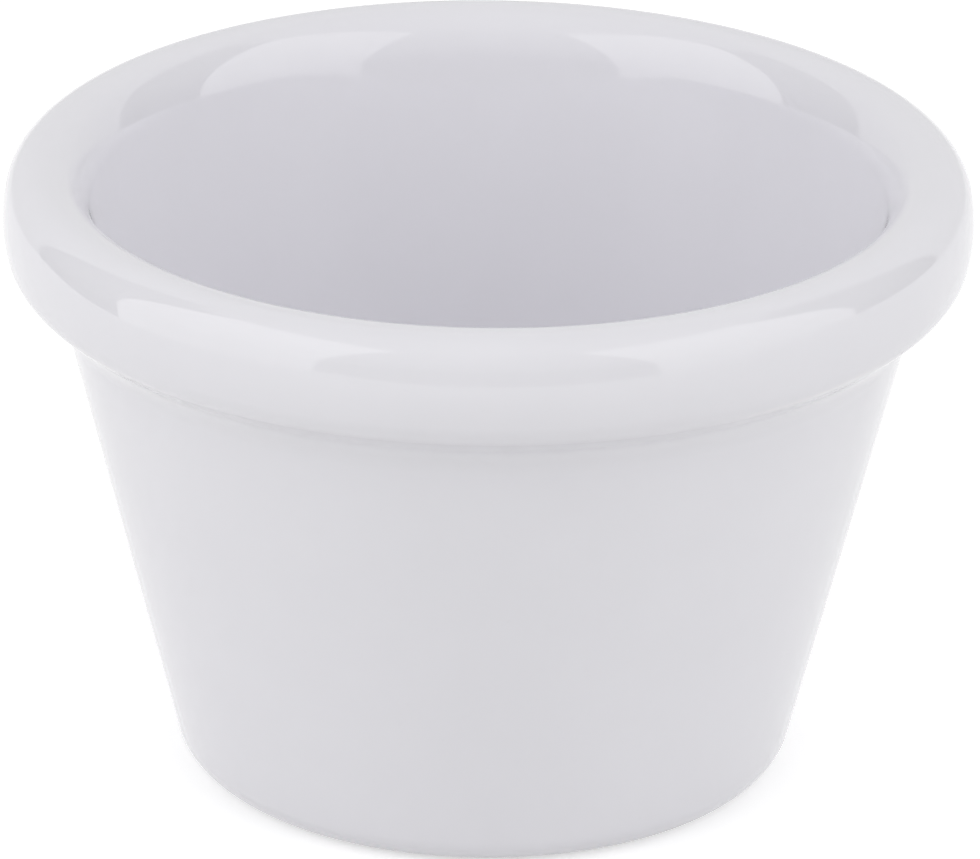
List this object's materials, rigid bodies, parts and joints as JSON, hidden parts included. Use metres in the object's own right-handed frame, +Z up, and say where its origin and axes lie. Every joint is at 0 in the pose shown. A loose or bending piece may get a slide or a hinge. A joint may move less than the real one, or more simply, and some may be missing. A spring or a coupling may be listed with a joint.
{
  "type": "dip bowl",
  "caption": "Small round dip bowl with a tapered wall, a thick rolled rim that stands proud of it, and a flat foot ring; holds a portion of sauce or dip.",
  "frame": {"origin": "centre of the foot ring, on the surface that the bowl stands on", "axes": "+Z up along the bowl's axis, from the foot to the mouth; +X and +Y are free, because the bowl is round"},
  "size_m": [0.058, 0.058, 0.038],
  "materials": {
    "melamine": "gloss"
  },
  "bodies": {
    "root": {"bowl": "melamine"}
  },
  "joints": []
}
